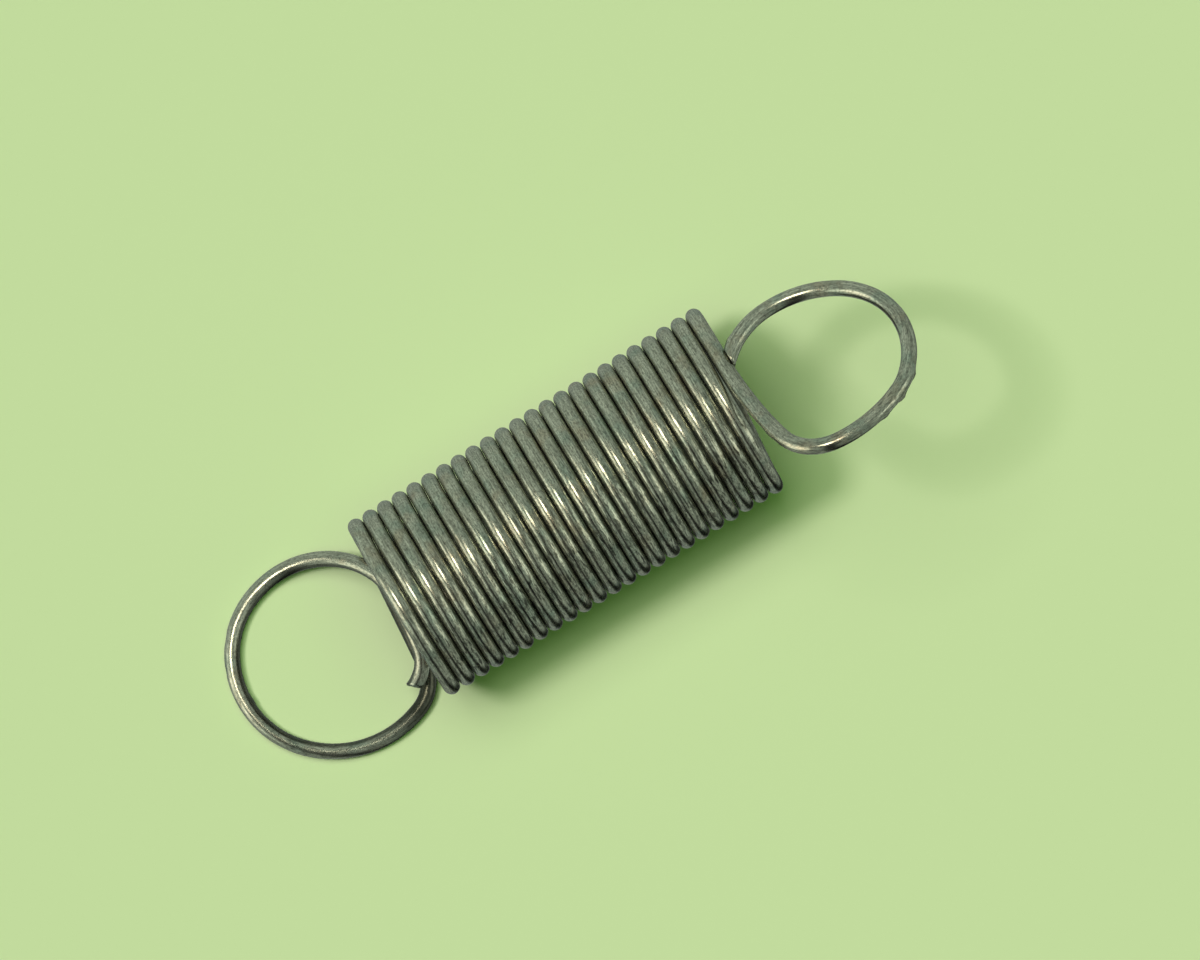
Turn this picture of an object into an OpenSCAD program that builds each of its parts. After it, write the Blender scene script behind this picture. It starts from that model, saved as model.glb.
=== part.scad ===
// Extension spring: one round wire, close wound to the right, with a full loop at each end.
// +X runs along the coil from the flat loop to the raised loop, and +Z is up. The spring lies on its
// side, and the origin is where it stands, under the middle of its outer box.

/* [Wire] */
// Diameter of the wire
wire_d = 1; // [0.8:0.05:1.2]

/* [Coil] */
// Diameter of the coil, at the middle of the wire
coil_d = 11.6; // [9.6:0.1:14]
// Turns from the first crown of the coil to the last
turns = 23; // [8:1:40]
// Air left between two turns
turn_gap = 0.08; // [0.04:0.01:0.4]
// How far the upper half of a turn steps back towards the flat loop
back_step = 0.17; // [0:0.01:0.3]
// How far the last turn runs on from its side towards its top, where the raised loop leaves it
raised_start = 52; // [30:1:75]

/* [Flat loop] */
// Straight stretch where the wire leaves the coil
flat_lead = 3.1; // [2.5:0.1:4]
// Radius of the corner after it
flat_corner_r = 3.6; // [3:0.1:5]
// Angle of the corner
flat_corner = 63; // [55:1:70]
// Radius of the round part, which lies on the table
flat_round_r = 6.3; // [5.5:0.1:8]
// Angle of the round part
flat_round = 174; // [165:1:180]

/* [Raised loop] */
// Straight stretch where the wire leaves the coil
raised_lead = 3.6; // [3:0.1:5]
// Radius of the easy bend after it
raised_ease_r = 27; // [20:1:40]
// Angle of the easy bend
raised_ease = 9; // [5:1:12]
// Radius of the corner
raised_corner_r = 4.5; // [3.5:0.1:5.5]
// Angle of the corner
raised_corner = 78; // [70:1:85]
// Radius of the outer half of the loop
raised_outer_r = 5.9; // [5:0.1:7]
// Angle of the outer half
raised_outer = 103; // [95:1:110]
// Radius of the way back
raised_return_r = 6.1; // [5:0.1:7.5]
// Angle of the way back
raised_return = 94; // [85:1:100]
// Radius of the last bend, which brings the cut end to the coil
raised_tip_r = 4.6; // [3.5:0.1:6]

/* [Hidden] */

wire_r = wire_d / 2;
coil_r = coil_d / 2;
pitch = wire_d + turn_gap;
forward_step = pitch + back_step; // how far the lower half of a turn steps forward
quarter = 90;
half_turn = 180;
slim_by = 0.004; // hair by which every other step of the wire is thinner
overlap = 0.05; // and how far it runs into its neighbours
tip_gap = 0.06; // air between the raised loop's cut end and the turn that it points at
section_faces = 32; // facets round the wire in a quick view
turn_faces = 96; // and round a turn
walk_step = 3; // degrees between the points that measure the outer box
most_tip = 60; // degrees that the raised loop's last bend can have

// The end of the flat loop climbs over the turn that it crosses. The climb follows the wire that it
// has to clear, and the three bends after it bring the cut end down onto the start of the loop.
climb_tighter = 0.12; // share of the coil's radius by which the climb is tighter than the round part
climb_rise = 2.18; // turns of height that the climb would gain over one radius of the coil
climb = 66;
cross_share = 0.86; // radius of the bend at the top, as a share of the coil's
cross_back = 1.29; // how far it leans back, for each degree that the climb leans out
cross_bend = 55;
fall_share = 1.72; // radius of the way down, as a share of the coil's
fall_tilt = -4;
fall = 21;
flat_tip_share = 0.55; // and the radius of the last bend
flat_tip_tilt = 46;
flat_tip = 42;

climb_r = flat_round_r - coil_r * climb_tighter;
climb_tilt = asin(climb_rise * pitch / coil_r);
cross_r = coil_r * cross_share;
cross_tilt = -cross_back * climb_tilt;
fall_r = coil_r * fall_share;
flat_tip_r = coil_r * flat_tip_share;

// A pose is [point, heading, side]: the wire runs along its heading and bends towards its side.
// A step of the wire is [radius, angle, tilt], or [0, length, 0] where it is straight.
function point_of(pose) = pose[0];
function heading_of(pose) = pose[1];
function side_of(pose) = pose[2];

function tilted(pose, tilt) =
    let (h = heading_of(pose), s = side_of(pose))
    [point_of(pose), h, cos(tilt) * s + sin(tilt) * cross(s, h)];

function moved(pose, radius, angle) =
    let (p = point_of(pose), h = heading_of(pose), s = side_of(pose))
    [
        p + radius * (sin(angle) * h + (1 - cos(angle)) * s),
        cos(angle) * h + sin(angle) * s,
        cos(angle) * s - sin(angle) * h
    ];

function is_straight(step) = step[0] == 0;

function after(pose, step) =
    is_straight(step)
    ? [point_of(pose) + step[1] * heading_of(pose), heading_of(pose), side_of(pose)]
    : moved(tilted(pose, step[2]), step[0], step[1]);

// The pose at the start of each step, and the one after the last
function poses(pose, steps, i = 0) =
    i == len(steps) ? [pose] : concat([pose], poses(after(pose, steps[i]), steps, i + 1));

// Points along one step, for the outer box
function points_on(pose, step) =
    is_straight(step)
    ? [point_of(pose), point_of(after(pose, step))]
    : [for (a = [0:walk_step:step[1] + walk_step])
        point_of(moved(tilted(pose, step[2]), step[0], min(a, step[1])))];

function unit(v) = v / norm(v);

// Each half turn is half a circle on its own slightly leaning plane, so that they meet end to end.
upper_chord = [-back_step, -coil_d, 0];
lower_chord = [forward_step, coil_d, 0];
upper_half = [norm(upper_chord) / 2, half_turn, 0];
lower_half = [norm(lower_chord) / 2, half_turn, 0];
first_quarter = [norm(lower_chord) / 2, quarter, 0];
last_part = [norm(upper_chord) / 2, raised_start, 0];

function crown(i) = [[i * pitch, coil_r, 0], [0, 0, 1], unit(upper_chord)];
function trough(i) = [[i * pitch - back_step, -coil_r, 0], [0, 0, -1], unit(lower_chord)];

// Where the flat loop leaves the coil: the lowest point of its first turn
coil_start = [[-forward_step / 2, 0, -norm(lower_chord) / 2], unit(lower_chord), [0, 0, 1]];
flat_heading = -heading_of(coil_start);
flat_start = [point_of(coil_start), flat_heading, [flat_heading[1], -flat_heading[0], 0]];
flat_steps = [
    [0, flat_lead, 0],
    [flat_corner_r, flat_corner, 0],
    [flat_round_r, flat_round, 0],
    [climb_r, climb, climb_tilt],
    [cross_r, cross_bend, cross_tilt],
    [fall_r, fall, fall_tilt],
    [flat_tip_r, flat_tip, flat_tip_tilt]
];

// Where the raised loop leaves it, in the plane that touches the last turn there
coil_end = moved(crown(turns), last_part[0], raised_start);
along_x = [1, 0, 0];
raised_heading = heading_of(coil_end);
raised_side = unit(along_x - (along_x * raised_heading) * raised_heading);
raised_start_pose = [point_of(coil_end), raised_heading, raised_side];
raised_run = [
    [0, raised_lead, 0],
    [raised_ease_r, raised_ease, 0],
    [raised_corner_r, raised_corner, 0],
    [raised_outer_r, raised_outer, 0],
    [raised_return_r, raised_return, 0]
];

// The last bend stops where the edge of the cut end is still clear of the turn beside it
before_tip = poses(raised_start_pose, raised_run)[len(raised_run)];
function edge_gap(angle) =
    let (end = moved(before_tip, raised_tip_r, angle), p = point_of(end) - point_of(coil_end))
    p * raised_side - wire_r * abs(heading_of(end) * raised_heading) - wire_r;
raised_tip = max([for (a = [1:most_tip]) if (edge_gap(a) > tip_gap) a]);
raised_steps = concat(raised_run, [[raised_tip_r, raised_tip, 0]]);

flat_poses = poses(flat_start, flat_steps);
raised_poses = poses(raised_start_pose, raised_steps);
middles = concat(
    points_on(crown(0), upper_half),
    [for (i = [0:len(flat_steps) - 1]) each points_on(flat_poses[i], flat_steps[i])],
    [for (i = [0:len(raised_steps) - 1]) each points_on(raised_poses[i], raised_steps[i])]
);
function low(axis) = min([for (p = middles) p[axis]]) - wire_r;
function high(axis) = max([for (p = middles) p[axis]]) + wire_r;

// Turns x, y and z onto three directions and moves to a place
module laid(x, y, z, place) {
    multmatrix([
        [x[0], y[0], z[0], place[0]],
        [x[1], y[1], z[1], place[1]],
        [x[2], y[2], z[2], place[2]]
    ])
        children();
}

module wire_section(slim) {
    circle(d = slim ? wire_d - slim_by : wire_d, $fn = section_faces);
}

// One step of the wire, laid from its pose. Steps are full and slim in turn: a slim one is thinner by a
// hair, and runs a little way into its two neighbours, so that all of them join into one solid.
module wire_step(pose, step, slim) {
    start = tilted(pose, step[2]);
    p = point_of(start);
    h = heading_of(start);
    s = side_of(start);
    run_on = slim ? overlap : 0;
    if (is_straight(step)) {
        laid(s, cross(h, s), h, p - run_on * h)
            linear_extrude(step[1] + 2 * run_on) wire_section(slim);
    } else {
        extra = run_on / step[0] * half_turn / PI;
        laid(-s, h, cross(h, s), p + step[0] * s)
            rotate_extrude(start = -extra, angle = step[1] + 2 * extra, $fn = turn_faces)
                translate([step[0], 0]) wire_section(slim);
    }
}

module coil() {
    wire_step(moved(trough(-1), lower_half[0], quarter), first_quarter, true);
    for (i = [0:turns - 1]) {
        wire_step(crown(i), upper_half, false);
        wire_step(trough(i), lower_half, true);
    }
    wire_step(crown(turns), last_part, false);
}

module flat_loop() {
    for (i = [0:len(flat_steps) - 1]) wire_step(flat_poses[i], flat_steps[i], i % 2 == 1);
}

module raised_loop() {
    for (i = [0:len(raised_steps) - 1]) wire_step(raised_poses[i], raised_steps[i], i % 2 == 0);
}

module spring() {
    color("lightslategray")
        translate([-(low(0) + high(0)) / 2, -(low(1) + high(1)) / 2, -low(2)]) {
            flat_loop();
            coil();
            raised_loop();
        }
}

spring();
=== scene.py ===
import math

import bpy
import numpy as np
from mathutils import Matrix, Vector


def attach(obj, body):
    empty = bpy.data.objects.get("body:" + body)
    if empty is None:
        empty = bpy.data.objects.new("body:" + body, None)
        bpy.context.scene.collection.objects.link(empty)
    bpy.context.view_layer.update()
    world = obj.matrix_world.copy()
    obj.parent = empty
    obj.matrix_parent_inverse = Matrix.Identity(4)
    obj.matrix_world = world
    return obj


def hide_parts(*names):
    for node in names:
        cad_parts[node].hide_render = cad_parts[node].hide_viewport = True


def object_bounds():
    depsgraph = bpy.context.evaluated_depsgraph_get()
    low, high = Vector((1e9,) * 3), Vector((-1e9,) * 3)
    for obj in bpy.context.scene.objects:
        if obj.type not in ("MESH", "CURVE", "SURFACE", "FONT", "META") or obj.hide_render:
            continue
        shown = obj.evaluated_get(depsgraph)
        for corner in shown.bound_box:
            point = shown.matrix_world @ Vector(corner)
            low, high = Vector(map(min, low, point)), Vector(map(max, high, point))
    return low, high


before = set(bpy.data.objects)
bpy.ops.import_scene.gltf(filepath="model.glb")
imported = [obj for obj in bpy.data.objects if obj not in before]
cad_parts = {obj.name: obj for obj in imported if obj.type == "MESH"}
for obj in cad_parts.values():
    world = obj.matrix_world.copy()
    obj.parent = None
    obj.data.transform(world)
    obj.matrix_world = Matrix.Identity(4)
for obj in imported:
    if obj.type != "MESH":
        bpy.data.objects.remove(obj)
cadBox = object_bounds()
mm = 0.001

# The wire, in millimetres and degrees. A bend is (radius, angle, tilt of its plane).
wire = {
    "diameter": 1.0,
    "coilDiameter": 11.6,
    "turns": 23,
    "gap": 0.08,  # air between two turns
    "backStep": 0.17,  # how far the upper half of a turn steps back
    "raisedStart": 52,  # how far the last turn runs on before the raised loop leaves it
    "flatLead": 3.81,
    "flatBends": [
        (2.62, 62.6, 0),
        (6.9, 68.9, 0),
        (6.13, 65, 0),
        (5.8, 41.1, 0),
        (6.06, 93.7, 21.6),
        (2.2, 32.8, -41.7),
        (16.14, 14.4, -9.3),
        (2.79, 54.5, 43.8),
    ],
    "raisedLead": 2.05,
    "raisedBends": [
        (31.89, 12.3, -0.3),
        (3.3, 69.9, -0.7),
        (7.97, 35.6, 0),
        (3.47, 22.1, 0),
        (5.9, 91.4, 0),
        (7.02, 40.3, 0),
        (4.59, 49.1, 0),
    ],
    "pathStep": 0.05,  # between the points that draw the path
    "ringStep": 0.25,  # between the rings of the tube
    "sides": 24,
    "wander": 0.06,  # how far the turns stray from true
    "wanderLength": 4.0,
    "bedding": 0.028,  # how much the pressed turns fatten towards each other
    "outOfRound": 0.012,
    "lumps": 0.7,  # of the uneven skin, for each millimetre
    "flatCentre": (-5.9, -0.3),  # middle of the flat loop, from where it leaves the coil
    "seed": 4,
}

# Marks left by the coiling and looping tools: (millimetres along the wire, direction that they face,
# half length, half width, and how far the steel stands proud or, below zero, is pressed in)
toolMarks = [
    (20.2, (-0.75, 0.66, 0.2), 0.5, 0.35, -0.06),
    (22.1, (-0.99, 0.13, 0.1), 0.45, 0.3, -0.05),
    (24.4, (1.0, 0.0, 0.2), 0.4, 0.3, 0.06),
    (907.1, (-0.97, -0.24, 0.2), 0.6, 0.35, 0.06),
    (915.1, (0.2, -0.98, 0.1), 0.45, 0.3, 0.09),
    (916.6, (0.37, -0.93, 0.1), 0.5, 0.3, 0.13),
    (918.1, (0.67, -0.74, 0.1), 0.45, 0.3, 0.11),
    (935.4, (-0.47, 0.88, 0.1), 0.4, 0.3, 0.07),
]

# Sheared ends: how steeply the cut slants across the wire, the direction in which it runs on, and how
# far the burr and the flare stand out. The flare fades over its reach.
cutEnds = {
    "flat": {"slant": 0.25, "towards": (-1.0, 0.3, 0.0), "burr": 0.12, "flare": 0.06, "reach": 1.2},
    "raised": {"slant": 1.0, "towards": (1.0, 0.0, 0.0), "burr": 0.02, "flare": 0.02, "reach": 1.2},
    "rings": (0.93, 0.8, 0.6, 0.38, 0.17),  # of the cut face, as shares of the wire's radius
    "rough": 0.025,
    "burrWidth": 0.5,  # across the wire, where 2 is the whole of it
    "burrRoot": 6,  # how steeply the burr rises from the cut face
    "flareWidth": 1.2,
    "pinch": 0.3,  # how far the whole end is drawn in, as a share of the flare
    "flareFade": 4,
}

# Layout of the baked map: the wire in strips, and the two cut faces in a row above them
bakeMap = {
    "strips": 16,
    "filled": 0.94,  # share of a row's height that its strip fills
    "cutRadius": 0.45,
}


def unit(v):
    return v / np.linalg.norm(v)


def bendChain(start, heading, side, lead, bends):
    # points along a straight lead and a chain of bends that run into each other
    step = wire["pathStep"]
    p, h, s = start, heading, side
    points = [p + h * a for a in np.arange(0, lead, step)]
    p = p + h * lead
    for radius, angle, tilt in bends:
        t = math.radians(tilt)
        s = s * math.cos(t) + np.cross(s, h) * math.sin(t)
        turn = math.radians(angle)
        for a in np.arange(0, turn, step / radius):
            points.append(p + radius * (math.sin(a) * h + (1 - math.cos(a)) * s))
        p = p + radius * (math.sin(turn) * h + (1 - math.cos(turn)) * s)
        h, s = math.cos(turn) * h + math.sin(turn) * s, math.cos(turn) * s - math.sin(turn) * h
    points.append(p)
    return points


def halfTurn(start, chord, first, last):
    # points on half a circle from one side of the coil to the other, on its own leaning plane
    radius = np.linalg.norm(chord) / 2
    side = unit(chord)
    up = np.array([0, 0, 1.0 if chord[1] < 0 else -1.0])
    angles = np.arange(first, last, wire["pathStep"] / radius)
    return [start + radius * (math.sin(a) * up + (1 - math.cos(a)) * side) for a in angles]


def wirePath():
    d = wire["coilDiameter"]
    pitch = wire["diameter"] + wire["gap"]
    back = wire["backStep"]
    upper = np.array([-back, -d, 0])
    lower = np.array([pitch + back, d, 0])
    coil = halfTurn(np.array([-pitch - back, -d / 2, 0]), lower, math.pi / 2, math.pi)
    coil[0] = np.array([-(pitch + back) / 2, 0, -np.linalg.norm(lower) / 2])
    for i in range(wire["turns"]):
        coil += halfTurn(np.array([i * pitch, d / 2, 0]), upper, 0, math.pi)
        coil += halfTurn(np.array([i * pitch - back, -d / 2, 0]), lower, 0, math.pi)
    crown = np.array([wire["turns"] * pitch, d / 2, 0])
    raised = math.radians(wire["raisedStart"])
    coil += halfTurn(crown, upper, 0, raised)

    flatHeading = -unit(lower)
    flatSide = np.array([flatHeading[1], -flatHeading[0], 0])
    flat = bendChain(coil[0], flatHeading, flatSide, wire["flatLead"], wire["flatBends"])

    radius, side = np.linalg.norm(upper) / 2, unit(upper)
    up = np.array([0, 0, 1.0])
    end = crown + radius * (math.sin(raised) * up + (1 - math.cos(raised)) * side)
    heading = math.cos(raised) * up + math.sin(raised) * side
    along = np.array([1.0, 0, 0])
    raisedSide = unit(along - along.dot(heading) * heading)
    raisedLoop = bendChain(end, heading, raisedSide, wire["raisedLead"], wire["raisedBends"])
    return np.array(flat[:0:-1] + coil + raisedLoop), len(flat) - 1, len(flat) - 1 + len(coil)


print("wire path")
path, flatEnd, raisedBegin = wirePath()
low, high = path.min(0) - wire["diameter"] / 2, path.max(0) + wire["diameter"] / 2
boxLow, boxHigh = np.array(cadBox[0]) / mm, np.array(cadBox[1]) / mm
shift = (boxLow + boxHigh - low - high) / 2
path = path + shift
coilLength = wire["turns"] * (wire["diameter"] + wire["gap"])
loopCentre = (shift + np.array([*wire["flatCentre"], -wire["coilDiameter"] / 2])) * mm
coilAxis = (shift + np.array([coilLength / 2, 0, 0])) * mm


def addNode(tree, kind, settings=None, **inputs):
    # adds one node: its settings by name, then its inputs by name or place, each a value or a link
    node = tree.nodes.new(kind)
    for name, value in (settings or {}).items():
        setattr(node, name, value)
    for name, value in inputs.items():
        key = int(name[1:]) if name[0] == "i" and name[1:].isdigit() else name.replace("_", " ")
        if isinstance(value, bpy.types.NodeSocket):
            tree.links.new(value, node.inputs[key])
        elif value is not None:
            node.inputs[key].default_value = value
    return node


def drawnWireTree():
    # sweeps a round section along the path, strays a little from true, and marks where each point lies
    tree = bpy.data.node_groups.new("drawnWire", "GeometryNodeTree")
    face = tree.interface
    face.new_socket("Path", in_out="INPUT", socket_type="NodeSocketGeometry")
    for name in ("Wire Radius", "Ring Step", "Wander", "Wander Length", "Bedding", "Out Of Round"):
        face.new_socket(name, in_out="INPUT", socket_type="NodeSocketFloat")
    face.new_socket("Sides", in_out="INPUT", socket_type="NodeSocketInt")
    face.new_socket("Seed", in_out="INPUT", socket_type="NodeSocketInt")
    face.new_socket("Finish", in_out="INPUT", socket_type="NodeSocketMaterial")
    face.new_socket("Wire", in_out="OUTPUT", socket_type="NodeSocketGeometry")
    given = addNode(tree, "NodeGroupInput").outputs
    number = {"data_type": "FLOAT", "domain": "POINT"}
    vector = {"data_type": "FLOAT_VECTOR", "domain": "POINT"}

    # the middle of the wire, strayed, with its length marked on it
    curve = addNode(tree, "GeometryNodeMeshToCurve", Mesh=given["Path"])
    rings = addNode(tree, "GeometryNodeResampleCurve", {"mode": "LENGTH"}, Curve=curve.outputs[0],
                    Length=given["Ring Step"])
    position = addNode(tree, "GeometryNodeInputPosition")
    perLength = addNode(tree, "ShaderNodeMath", {"operation": "DIVIDE"}, i0=1.0, i1=given["Wander Length"])
    drift = addNode(tree, "ShaderNodeTexNoise", {"noise_dimensions": "4D"}, Vector=position.outputs[0],
                    W=given["Seed"], Scale=perLength.outputs[0], Detail=1.0)
    centred = addNode(tree, "ShaderNodeVectorMath", {"operation": "SUBTRACT"}, i0=drift.outputs["Color"],
                      i1=(0.5, 0.5, 0.5))
    strayed = addNode(tree, "ShaderNodeVectorMath", {"operation": "SCALE"}, i0=centred.outputs[0],
                      Scale=given["Wander"])
    moved = addNode(tree, "GeometryNodeSetPosition", Geometry=rings.outputs[0], Offset=strayed.outputs[0])
    along = addNode(tree, "GeometryNodeSplineParameter")
    marked = addNode(tree, "GeometryNodeStoreNamedAttribute", number, Geometry=moved.outputs[0],
                     Name="along", Value=along.outputs["Length"])

    # its section, with the way out from the middle marked on it
    section = addNode(tree, "GeometryNodeCurvePrimitiveCircle", Resolution=given["Sides"],
                      Radius=given["Wire Radius"])
    outward = addNode(tree, "GeometryNodeInputPosition")
    around = addNode(tree, "GeometryNodeStoreNamedAttribute", vector, Geometry=section.outputs[0],
                     Name="across", Value=outward.outputs[0])
    tube = addNode(tree, "GeometryNodeCurveToMesh", Curve=marked.outputs[0],
                   Profile_Curve=around.outputs[0])

    # each point's place on the wire, in millimetres: two across it, and one along it
    alongWire = addNode(tree, "GeometryNodeInputNamedAttribute", {"data_type": "FLOAT"}, Name="along")
    acrossWire = addNode(tree, "GeometryNodeInputNamedAttribute", {"data_type": "FLOAT_VECTOR"},
                         Name="across")
    alongVector = addNode(tree, "ShaderNodeCombineXYZ", Z=alongWire.outputs[0])
    place = addNode(tree, "ShaderNodeVectorMath", {"operation": "ADD"}, i0=acrossWire.outputs[0],
                    i1=alongVector.outputs[0])
    inMm = addNode(tree, "ShaderNodeVectorMath", {"operation": "SCALE"}, i0=place.outputs[0],
                   Scale=1 / mm)
    placed = addNode(tree, "GeometryNodeStoreNamedAttribute", vector, Geometry=tube.outputs[0],
                     Name="wirePlace", Value=inMm.outputs[0])

    # an uneven skin, fatter where the turns press on each other
    lumps = addNode(tree, "ShaderNodeTexNoise", {"noise_dimensions": "4D"}, Vector=inMm.outputs[0],
                    W=given["Seed"], Scale=wire["lumps"], Detail=2.0)
    lump = addNode(tree, "ShaderNodeMath", {"operation": "SUBTRACT"}, i0=lumps.outputs[0], i1=0.5)
    coiled = addNode(tree, "GeometryNodeInputNamedAttribute", {"data_type": "FLOAT"}, Name="coiled")
    bedding = addNode(tree, "ShaderNodeMath", {"operation": "MULTIPLY"}, i0=coiled.outputs[0],
                      i1=given["Bedding"])
    depth = addNode(tree, "ShaderNodeMath", {"operation": "MULTIPLY_ADD"}, i0=lump.outputs[0],
                    i1=given["Out Of Round"], i2=bedding.outputs[0])
    normal = addNode(tree, "GeometryNodeInputNormal")
    push = addNode(tree, "ShaderNodeVectorMath", {"operation": "SCALE"}, i0=normal.outputs[0],
                   Scale=depth.outputs[0])
    shaped = addNode(tree, "GeometryNodeSetPosition", Geometry=placed.outputs[0], Offset=push.outputs[0])
    smooth = addNode(tree, "GeometryNodeSetShadeSmooth", Geometry=shaped.outputs[0], Shade_Smooth=True)
    real = addNode(tree, "GeometryNodeRealizeInstances", Geometry=smooth.outputs[0])
    finished = addNode(tree, "GeometryNodeSetMaterial", Geometry=real.outputs[0], Material=given["Finish"])
    addNode(tree, "NodeGroupOutput", Wire=finished.outputs[0])
    return tree


def sweepWire(finish):
    # the path as a line, swept by the tree and taken as a plain mesh
    line = bpy.data.meshes.new("wirePath")
    line.from_pydata((path * mm).tolist(), [(i, i + 1) for i in range(len(path) - 1)], [])
    coiled = np.zeros(len(path))
    coiled[flatEnd:raisedBegin] = 1
    fade = int(wire["coilDiameter"] / wire["pathStep"] / 2)  # points over which the coil's look fades
    coiled = np.convolve(coiled, np.full(fade, 1 / fade), "same")
    line.attributes.new("coiled", "FLOAT", "POINT").data.foreach_set("value", coiled)
    host = bpy.data.objects.new("wirePath", line)
    bpy.context.collection.objects.link(host)
    tree = drawnWireTree()
    modifier = host.modifiers.new("drawnWire", "NODES")
    modifier.node_group = tree
    values = {
        "Wire Radius": wire["diameter"] / 2 * mm,
        "Ring Step": wire["ringStep"] * mm,
        "Wander": wire["wander"] * mm,
        "Wander Length": wire["wanderLength"] * mm,
        "Bedding": wire["bedding"] * mm,
        "Out Of Round": wire["outOfRound"] * mm,
        "Sides": wire["sides"],
        "Seed": wire["seed"],
        "Finish": finish,
    }
    for socket in tree.interface.items_tree:
        if socket.in_out == "INPUT" and socket.name in values:
            modifier[socket.identifier] = values[socket.name]
    shown = host.evaluated_get(bpy.context.evaluated_depsgraph_get())
    mesh = bpy.data.meshes.new_from_object(shown)
    bpy.data.objects.remove(host)
    return mesh


def smoothBump(distance, reach):
    # 1 at the middle of a mark, and 0 past its reach
    t = np.clip(1 - np.abs(distance) / reach, 0, 1)
    return t * t * (3 - 2 * t)


def readSwept(swept):
    # the swept wire's points, and their places on the wire, ring by ring, and how far each is coiled
    sides = wire["sides"]
    count = len(swept.vertices)
    points, place, coiled = np.empty(count * 3), np.empty(count * 3), np.empty(count)
    swept.vertices.foreach_get("co", points)
    swept.attributes["wirePlace"].data.foreach_get("vector", place)
    swept.attributes["coiled"].data.foreach_get("value", coiled)
    return points.reshape(-1, sides, 3) / mm, place.reshape(-1, sides, 3), coiled


def pressMarks(points, normals, along):
    # moves the skin in or out where a tool has marked it
    radius = wire["diameter"] / 2
    for at, facing, halfLength, halfWidth, height in toolMarks:
        near = smoothBump(along - at, halfLength)[:, None]
        turned = np.arccos(np.clip(normals @ unit(np.array(facing)), -1, 1))
        points += normals * (near * smoothBump(turned * radius, halfWidth) * height)[:, :, None]


def shearEnd(points, middles, normals, order, cut):
    # slants the end of the wire, flares it and raises a burr, and returns the rings of the cut face
    radius = wire["diameter"] / 2
    end = order[0]
    heading = unit(middles[end] - middles[order[3]])
    towards = np.array(cut["towards"])
    towards = unit(towards - towards.dot(heading) * heading)
    share = normals[end].dot(towards)  # -1 to 1 across the wire
    burr = smoothBump(share - 1, cutEnds["burrWidth"])
    runOn = radius * cut["slant"] * share + cut["burr"] * burr
    for i in order[:int(cut["reach"] / wire["ringStep"])]:
        left = 1 - np.linalg.norm(middles[end] - middles[i]) / cut["reach"]
        points[i] += np.outer(runOn * left, heading)
        flared = cut["flare"] * left ** cutEnds["flareFade"]
        flare = flared * smoothBump(share - 1, cutEnds["flareWidth"]) - cutEnds["pinch"] * flared
        points[i] += normals[i] * flare[:, None]
    rng = np.random.default_rng(wire["seed"])
    centre = points[end].mean(0)
    rings = []
    for size in cutEnds["rings"]:
        ring = centre + (points[end] - centre) * size
        ring -= np.outer(cut["burr"] * burr * min(1, (1 - size) * cutEnds["burrRoot"]), heading)
        rings.append(ring + np.outer(rng.normal(0, cutEnds["rough"] / 2, len(ring)), heading))
    return rings, centre - heading * cutEnds["rough"]


def addFace(faces, corners, slot, forward=True):
    # a face from its corners, each a vertex and its place in the baked map
    faces["corners"].append([vertex for vertex, spot in (corners if forward else corners[::-1])])
    faces["spots"] += [spot for vertex, spot in (corners if forward else corners[::-1])]
    faces["slots"].append(slot)


def stripFaces(faces, ringCount):
    # the wire's skin, laid out in strips one above the other
    sides = wire["sides"]
    perStrip = math.ceil((ringCount - 1) / bakeMap["strips"])
    rowHeight = 1 / (bakeMap["strips"] + 1)
    for i in range(ringCount - 1):
        strip = i // perStrip
        u0, u1 = (i - strip * perStrip) / perStrip, (i + 1 - strip * perStrip) / perStrip
        for j in range(sides):
            k = (j + 1) % sides
            v0 = (strip + bakeMap["filled"] * j / sides) * rowHeight
            v1 = (strip + bakeMap["filled"] * (j + 1) / sides) * rowHeight
            addFace(faces, [(i * sides + j, (u0, v0)), (i * sides + k, (u0, v1)),
                            ((i + 1) * sides + k, (u1, v1)), ((i + 1) * sides + j, (u1, v0))], 0)


def cutFaces(faces, rim, first, disc, forward):
    # one cut face, from the wire's rim through its own rings to its hub, laid out as a disc
    sides = wire["sides"]
    rowHeight = 1 / (bakeMap["strips"] + 1)
    sizes = (1.0,) + cutEnds["rings"]
    starts = [rim * sides] + [first + n * sides for n in range(len(cutEnds["rings"]))]
    hub = starts[-1] + sides
    middle = ((disc + 0.5) * rowHeight, (bakeMap["strips"] + 0.5) * rowHeight)

    def spot(size, j):
        angle = 2 * math.pi * j / sides
        reach = bakeMap["cutRadius"] * rowHeight * size
        return middle[0] + reach * math.cos(angle), middle[1] + reach * math.sin(angle)

    for n in range(len(starts) - 1):
        for j in range(sides):
            k = (j + 1) % sides
            addFace(faces, [(starts[n] + j, spot(sizes[n], j)), (starts[n] + k, spot(sizes[n], j + 1)),
                            (starts[n + 1] + k, spot(sizes[n + 1], j + 1)),
                            (starts[n + 1] + j, spot(sizes[n + 1], j))], 1, forward)
    for j in range(sides):
        addFace(faces, [(starts[-1] + j, spot(sizes[-1], j)),
                        (starts[-1] + (j + 1) % sides, spot(sizes[-1], j + 1)),
                        (hub, spot(0, j))], 1, forward)


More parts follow.
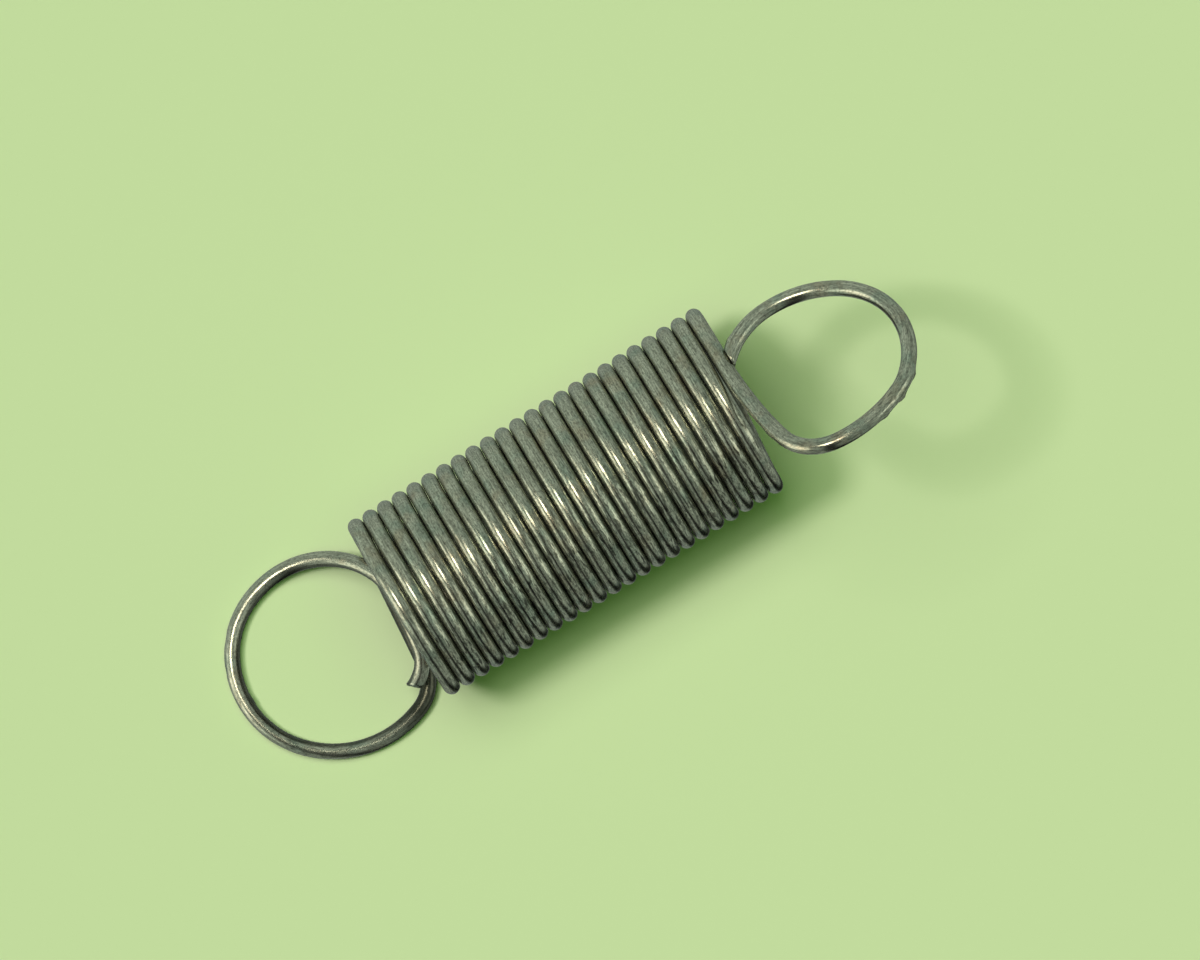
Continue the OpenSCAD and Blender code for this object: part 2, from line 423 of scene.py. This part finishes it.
def finishWire(swept, finish, cutFinish):
    # presses the tool marks in, shears the two ends and closes them, and lays the wire out for its own map
    sides = wire["sides"]
    points, place, coiled = readSwept(swept)
    ringCount = len(points)
    middles = points.mean(1)
    normals = points - middles[:, None]
    normals /= np.linalg.norm(normals, axis=2)[:, :, None]
    pressMarks(points, normals, place[:, 0, 2])
    order = list(range(ringCount))
    flatCut = shearEnd(points, middles, normals, order, cutEnds["flat"])
    raisedCut = shearEnd(points, middles, normals, order[::-1], cutEnds["raised"])

    faces = {"corners": [], "spots": [], "slots": []}
    stripFaces(faces, ringCount)
    allPoints = [points.reshape(-1, 3)]
    allPlaces = [place.reshape(-1, 3)]
    ends = ((0, flatCut, False), (ringCount - 1, raisedCut, True))
    for disc, (rim, (rings, tip), forward) in enumerate(ends):
        cutFaces(faces, rim, sum(len(part) for part in allPoints), disc, forward)
        allPoints += rings + [tip[None]]
        allPlaces += [place[rim] * (size, size, 1) for size in cutEnds["rings"]]
        allPlaces.append(place[rim].mean(0)[None])

    mesh = bpy.data.meshes.new("springWire")
    mesh.from_pydata((np.concatenate(allPoints) * mm).tolist(), [], faces["corners"])
    mesh.materials.append(finish)
    mesh.materials.append(cutFinish)
    mesh.polygons.foreach_set("material_index", faces["slots"])
    mesh.polygons.foreach_set("use_smooth", [slot == 0 for slot in faces["slots"]])
    places = mesh.attributes.new("wirePlace", "FLOAT_VECTOR", "POINT")
    places.data.foreach_set("vector", np.concatenate(allPlaces).ravel())
    straightEnds = np.zeros(len(mesh.vertices) - ringCount * sides)
    coiling = mesh.attributes.new("coiled", "FLOAT", "POINT")
    coiling.data.foreach_set("value", np.concatenate([coiled, straightEnds]))
    mesh.uv_layers.new(name="OFBake").uv.foreach_set("vector", np.array(faces["spots"]).ravel())
    mesh.validate()
    piece = bpy.data.objects.new("springWire", mesh)
    bpy.context.collection.objects.link(piece)
    return piece


def colour(code):
    # an sRGB hex colour as linear red, green, blue and alpha
    parts = [int(code[i:i + 2], 16) / 255 for i in (0, 2, 4)]
    return tuple(c / 12.92 if c <= 0.04045 else ((c + 0.055) / 1.055) ** 2.4 for c in parts) + (1.0,)


springSteel = {
    "light": "d8d8c8",  # rubbed steel
    "dark": "a2a496",  # between the die lines
    "teal": "8aa89c",  # thin zinc bloom
    "rust": "b39a7c",
    # dark grime, and also the colour of the painted shade inside the coil and on the flat loop
    "grimeAndShade": "26271e",
    "lineWidth": 0.1,  # millimetres, a little coarser than the real die lines so that they show
    "lineLength": 1.4,
    "lineDepth": 0.002,
    "grain": 0.1,
    "fleckWidth": 0.15,
    "fleckLength": 0.7,
    "patchSize": 1.8,
    "roughness": {"coil": (0.2, 0.26), "flatLoop": (0.23, 0.29), "raisedLoop": (0.17, 0.24)},
    "dullPart": 0.04,  # share of the surface that scatters light like scale and dust
    # the levels of its noise between which each comes in, and then its share at the first and the second
    "lineLevels": (0.36, 0.64),
    "tealLevels": (0.5, 0.75, 0.0, 0.55),
    "rustLevels": (0.55, 0.75, 0.0, 0.5),
    "grainLevels": (0.45, 0.75, 0.0, 0.6),
    "fleckLevels": (0.5, 0.6),
    "fleckPatches": (0.35, 0.65, 0.4, 1.0),
    "polishLevels": (0.35, 0.65),
    # the same between two places, in millimetres across the coil, along the wire or out from the axis
    "towardMinusYSide": (4.0, -3.0, 0.12, 1.0),  # the dark flecks are thickest on the side towards -Y
    "tipShadeStart": (33.5, 37.0, 0.0, 0.85),  # painted shadow: the flat loop darkens towards the coil, under the tip and beside the coil's body
    "tipShadeEnd": (44, 47, 1.0, 0.0),
    "insidePaintedShade": (5.3, 5.75, 0.9, 0.0),  # painted shade inside the coil
    "innerShadeEnd": (34, 40, 1.0, 0.0),
    "loopsApart": (100, 101),  # anywhere between the two loops
    # and the same by how far the wire is coiled, and by how squarely a loop's skin faces its middle
    "coiledFlecks": (0, 1, 0.5, 1.0),
    "innerShade": (0.2, 0.75, 0.0, 0.75),  # painted shade on the flat loop's inner side
    "fleckMost": 0.9,  # share of grime in the darkest fleck
}


def drawnSpringSteel():
    # hard-drawn spring wire: semi-gloss grey with fine lines along it from the die, faint tints of bloom
    # and rust, dark flecks of scale, and painted shade inside the coil and on the flat loop
    made = bpy.data.materials.new("drawnSpringSteel")
    made.use_nodes = True
    tree = made.node_tree
    tree.nodes.clear()

    def stretched(across, along, **settings):
        # noise whose grains are this wide and this long on the wire, in millimetres
        scaled = addNode(tree, "ShaderNodeVectorMath", {"operation": "MULTIPLY"}, i0=place,
                         i1=(1 / across, 1 / across, 1 / along))
        return addNode(tree, "ShaderNodeTexNoise", Vector=scaled.outputs[0], Scale=1.0, **settings).outputs

    def tinted(share, tone, tint):
        return addNode(tree, "ShaderNodeMix", {"data_type": "RGBA"}, i0=share, i6=tone,
                       i7=colour(springSteel[tint])).outputs[2]

    def mixed(share, first, second):
        return addNode(tree, "ShaderNodeMix", {"data_type": "FLOAT"}, i0=share, i2=first,
                       i3=second).outputs[0]

    def ranged(value, low, high, start=0.0, end=1.0):
        return addNode(tree, "ShaderNodeMapRange", Value=value, From_Min=low, From_Max=high,
                       To_Min=start, To_Max=end).outputs[0]

    def product(first, second):
        return addNode(tree, "ShaderNodeMath", {"operation": "MULTIPLY"}, i0=first, i1=second).outputs[0]

    # where each point lies: on the wire, round the coil's axis, and round the flat loop's middle
    place = addNode(tree, "ShaderNodeAttribute", {"attribute_name": "wirePlace"}).outputs["Vector"]
    coiled = addNode(tree, "ShaderNodeAttribute", {"attribute_name": "coiled"}).outputs["Fac"]
    alongWire = addNode(tree, "ShaderNodeSeparateXYZ", Vector=place).outputs[2]
    here = addNode(tree, "ShaderNodeTexCoord").outputs["Object"]
    fromAxis = addNode(tree, "ShaderNodeVectorMath", {"operation": "SUBTRACT"}, i0=here, i1=coilAxis)
    inMm = addNode(tree, "ShaderNodeVectorMath", {"operation": "SCALE"}, i0=fromAxis.outputs[0],
                   Scale=1 / mm)
    parts = addNode(tree, "ShaderNodeSeparateXYZ", Vector=inMm.outputs[0]).outputs
    across = addNode(tree, "ShaderNodeCombineXYZ", Y=parts[1], Z=parts[2])
    radius = addNode(tree, "ShaderNodeVectorMath", {"operation": "LENGTH"},
                     i0=across.outputs[0]).outputs["Value"]
    inward = addNode(tree, "ShaderNodeVectorMath", {"operation": "SUBTRACT"}, i0=loopCentre, i1=here)
    toMiddle = addNode(tree, "ShaderNodeVectorMath", {"operation": "NORMALIZE"}, i0=inward.outputs[0])
    skin = addNode(tree, "ShaderNodeNewGeometry").outputs["Normal"]
    facing = addNode(tree, "ShaderNodeVectorMath", {"operation": "DOT_PRODUCT"}, i0=toMiddle.outputs[0],
                     i1=skin).outputs["Value"]

    # the noises
    lines = stretched(springSteel["lineWidth"], springSteel["lineLength"], Detail=3.0, Roughness=0.65)[0]
    grain = stretched(springSteel["grain"], springSteel["grain"] * 2, Detail=2.0)[0]
    patches = stretched(springSteel["patchSize"], springSteel["patchSize"], Detail=3.0)[1]
    patch = addNode(tree, "ShaderNodeSeparateColor", Color=patches).outputs
    flecks = stretched(springSteel["fleckWidth"], springSteel["fleckLength"], Detail=3.0, Roughness=0.6)[0]

    # how much of each tint and soil there is, and of the painted shade
    towardMinusY = ranged(parts[1], *springSteel["towardMinusYSide"])
    thick = ranged(patch[2], *springSteel["fleckPatches"])
    onCoil = ranged(coiled, *springSteel["coiledFlecks"])
    fleck = product(ranged(flecks, *springSteel["fleckLevels"]), product(product(towardMinusY, thick), onCoil))
    # painted shade on the inner side of the coil's turns, where they face the axis
    coilInsideShade = product(ranged(radius, *springSteel["insidePaintedShade"]), coiled)
    # painted shadow where the flat loop starts, under the tip and beside the coil
    tipShade = product(ranged(alongWire, *springSteel["tipShadeStart"]), ranged(alongWire, *springSteel["tipShadeEnd"]))
    # painted shade on the flat loop's skin that faces the loop's middle
    innerShade = product(ranged(facing, *springSteel["innerShade"]),
                        ranged(alongWire, *springSteel["innerShadeEnd"]))

    tone = tinted(ranged(lines, *springSteel["lineLevels"]), colour(springSteel["dark"]), "light")
    tone = tinted(ranged(patch[0], *springSteel["tealLevels"]), tone, "teal")
    tone = tinted(ranged(patch[1], *springSteel["rustLevels"]), tone, "rust")
    tone = tinted(ranged(grain, *springSteel["grainLevels"]), tone, "grimeAndShade")
    tone = tinted(product(fleck, springSteel["fleckMost"]), tone, "grimeAndShade")
    tone = tinted(coilInsideShade, tone, "grimeAndShade")
    tone = tinted(tipShade, tone, "grimeAndShade")
    tone = tinted(innerShade, tone, "grimeAndShade")

    polish = {part: ranged(grain, *springSteel["polishLevels"], *rough)
              for part, rough in springSteel["roughness"].items()}
    loops = mixed(ranged(alongWire, *springSteel["loopsApart"]), polish["flatLoop"], polish["raisedLoop"])
    roughness = mixed(coiled, loops, polish["coil"])
    lineRelief = addNode(tree, "ShaderNodeBump", Distance=springSteel["lineDepth"] * mm, Height=lines)
    shader = addNode(tree, "ShaderNodeBsdfPrincipled", Base_Color=tone,
                     Metallic=1 - springSteel["dullPart"], Roughness=roughness,
                     Normal=lineRelief.outputs[0])
    addNode(tree, "ShaderNodeOutputMaterial", Surface=shader.outputs[0])
    return made


cutSteel = {
    "bright": "dcdccb",
    "torn": "77776a",
    "tornLevels": (0.4, 0.62),
    "roughness": 0.32,
    "grain": 0.09,
    "relief": 0.02,
}


def shearedSteel():
    # steel fresh from the cutter: brighter than the drawn skin, torn and grainy across the cut
    made = bpy.data.materials.new("shearedSteel")
    made.use_nodes = True
    tree = made.node_tree
    tree.nodes.clear()
    place = addNode(tree, "ShaderNodeAttribute", {"attribute_name": "wirePlace"}).outputs["Vector"]
    grain = addNode(tree, "ShaderNodeTexNoise", Vector=place, Scale=1 / cutSteel["grain"], Detail=3.0)
    torn = addNode(tree, "ShaderNodeMapRange", Value=grain.outputs[0], From_Min=cutSteel["tornLevels"][0],
                   From_Max=cutSteel["tornLevels"][1])
    shade = addNode(tree, "ShaderNodeMix", {"data_type": "RGBA"}, i0=torn.outputs[0],
                    i6=colour(cutSteel["torn"]), i7=colour(cutSteel["bright"]))
    relief = addNode(tree, "ShaderNodeBump", Distance=cutSteel["relief"] * mm, Height=grain.outputs[0])
    shader = addNode(tree, "ShaderNodeBsdfPrincipled", Base_Color=shade.outputs[2], Metallic=1.0,
                     Roughness=cutSteel["roughness"], Normal=relief.outputs[0])
    addNode(tree, "ShaderNodeOutputMaterial", Surface=shader.outputs[0])
    return made


print("spring wire")
steel = drawnSpringSteel()
springWire = finishWire(sweepWire(steel), steel, shearedSteel())
print("triangles", sum(len(face.vertices) - 2 for face in springWire.data.polygons))
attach(springWire, "root")
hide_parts("spring")

studio = {
    "floor": "c6dfa2",
    "lamps": {  # direction, colour, strength and size in degrees
        "keyLamp": ((-0.35, 0.285, 0.892), "fae6ff", 1.35, 12),
        "softLamp": ((-0.1, 0.31, 0.945), "fae6ff", 1.5, 34),
        "fillLamp": ((0.08, 0.15, 0.985), "c0ff9c", 0.95, 56),
    },
    "skyColour": "eeffeb",
    "panelColour": "fff6dc",
    "sky": 0.39,
    "lowSky": 0.26,  # towards -Y, near the horizon
    "underSky": 0.27,  # straight below
    "lowSkyBand": (-0.95, -0.3),  # along Y, where the low sky gives way to the even one
    "underBand": (-0.95, -0.45),  # along Z, and where the under sky does
    "armNormal": (0.885, -0.346, 0.31),  # the camera stand's dark arm lies in the plane across this
    "armWidth": (0.1, 0.26),
    "armEnd": (-0.2, 0.2),  # along Y, where the arm fades out
    "warmLight": (0.6, 2.0),  # how bright the light is where the panels' warmth begins and is full
    "floorHalf": 2.0,  # metres
}

# soft panels: direction, angles from it in degrees at which the bright middle ends and the rim has faded,
# and brightness over the sky
panels = [
    ((-0.3, 0.18, 0.93), (7, 11), 9.0),
    ((-0.95, 0.1, 0.28), (8, 34), 1.2),
    ((0.66, -0.53, 0.54), (6, 30), 0.8),
    ((0.23, 0.73, 0.65), (6, 30), 0.15),
    ((-0.75, 0.65, 0.1), (10, 50), 0.1),
    ((-0.1, 0.85, -0.5), (20, 60), 0.1),
    ((0.1, -0.9, -0.45), (20, 50), 0.08),
]


def paleFloor():
    # matt green paper, with no gloss of its own
    made = bpy.data.materials.new("paleGreenPaper")
    made.use_nodes = True
    tree = made.node_tree
    tree.nodes.clear()
    shader = addNode(tree, "ShaderNodeBsdfPrincipled", Base_Color=colour(studio["floor"]), Roughness=1.0,
                     Specular_IOR_Level=0.0)
    addNode(tree, "ShaderNodeOutputMaterial", Surface=shader.outputs[0])
    mesh = bpy.data.meshes.new("floor")
    half = studio["floorHalf"]
    corners = [(-half, -half, 0), (half, -half, 0), (half, half, 0), (-half, half, 0)]
    mesh.from_pydata(corners, [], [(0, 1, 2, 3)])
    mesh.materials.append(made)
    floor = bpy.data.objects.new("floor", mesh)
    bpy.context.collection.objects.link(floor)
    floor.visible_glossy = False  # the metal mirrors the grey room, and not the paper


def sunLamp(name, direction, code, strength, angle):
    # lights the paper only; the metal mirrors the panels instead
    light = bpy.data.lights.new(name, "SUN")
    light.energy = strength
    light.angle = math.radians(angle)
    light.color = colour(code)[:3]
    lamp = bpy.data.objects.new(name, light)
    lamp.rotation_mode = "QUATERNION"
    lamp.rotation_quaternion = Vector(direction).to_track_quat("Z", "Y")
    lamp.visible_glossy = False
    bpy.context.collection.objects.link(lamp)


def studioWorld():
    # an even sky that dims low down in front, soft panels, and the dark arm of the camera stand
    world = bpy.data.worlds.new("studioWorld")
    bpy.context.scene.world = world
    world.use_nodes = True
    world.cycles_visibility.diffuse = False  # the lamps light the paper, and the panels are for the metal
    tree = world.node_tree
    tree.nodes.clear()

    def eased(value, low, high, start=0.0, end=1.0):
        return addNode(tree, "ShaderNodeMapRange", {"interpolation_type": "SMOOTHSTEP"}, Value=value,
                       From_Min=low, From_Max=high, To_Min=start, To_Max=end).outputs[0]

    def towards(axis):
        return addNode(tree, "ShaderNodeVectorMath", {"operation": "DOT_PRODUCT"}, i0=direction,
                       i1=axis).outputs["Value"]

    def combined(operation, first, second):
        return addNode(tree, "ShaderNodeMath", {"operation": operation}, i0=first, i1=second).outputs[0]

    direction = addNode(tree, "ShaderNodeTexCoord").outputs["Generated"]
    parts = addNode(tree, "ShaderNodeSeparateXYZ", Vector=direction).outputs
    light = eased(parts[1], *studio["lowSkyBand"], studio["lowSky"], studio["sky"])
    light = addNode(tree, "ShaderNodeMix", {"data_type": "FLOAT"}, i0=eased(parts[2], *studio["underBand"]),
                    i2=studio["underSky"], i3=light).outputs[0]
    for facing, (inner, outer), bright in panels:
        faded, full = math.cos(math.radians(outer)), math.cos(math.radians(inner))
        glow = eased(towards(Vector(facing).normalized()), faded, full, 0.0, bright)
        light = combined("ADD", light, glow)

    fromArm = addNode(tree, "ShaderNodeMath", {"operation": "ABSOLUTE"}, i0=towards(studio["armNormal"]))
    beside = eased(fromArm.outputs[0], *studio["armWidth"])
    clear = combined("MAXIMUM", beside, eased(parts[1], *studio["armEnd"]))
    seen = combined("MULTIPLY", light, clear)
    warm = addNode(tree, "ShaderNodeMapRange", Value=light, From_Min=studio["warmLight"][0],
                   From_Max=studio["warmLight"][1])
    tint = addNode(tree, "ShaderNodeMix", {"data_type": "RGBA"}, i0=warm.outputs[0],
                   i6=colour(studio["skyColour"]), i7=colour(studio["panelColour"]))
    back = addNode(tree, "ShaderNodeBackground", Color=tint.outputs[2], Strength=seen)
    addNode(tree, "ShaderNodeOutputWorld", Surface=back.outputs[0])


camera = {
    "over": (2.70, 0.47),  # millimetres from the origin
    "height": 756.33,
    "turn": -31.9,  # degrees about the vertical
    "lens": 360,
    "sensor": 36,
    "farClip": 10,  # metres
}


def overheadCamera():
    # looks straight down from high over the spring
    lens = bpy.data.cameras.new("camera")
    lens.lens = camera["lens"]
    lens.sensor_width = camera["sensor"]
    lens.clip_end = camera["farClip"]
    eye = bpy.data.objects.new("camera", lens)
    eye.location = (camera["over"][0] * mm, camera["over"][1] * mm, camera["height"] * mm)
    eye.rotation_euler = (0, 0, math.radians(camera["turn"]))
    bpy.context.collection.objects.link(eye)
    bpy.context.scene.camera = eye


print("studio")
paleFloor()
for name, (direction, code, strength, angle) in studio["lamps"].items():
    sunLamp(name, direction, code, strength, angle)
studioWorld()
overheadCamera()
bpy.context.scene.view_settings.view_transform = "Standard"

bpy.context.view_layer.update()
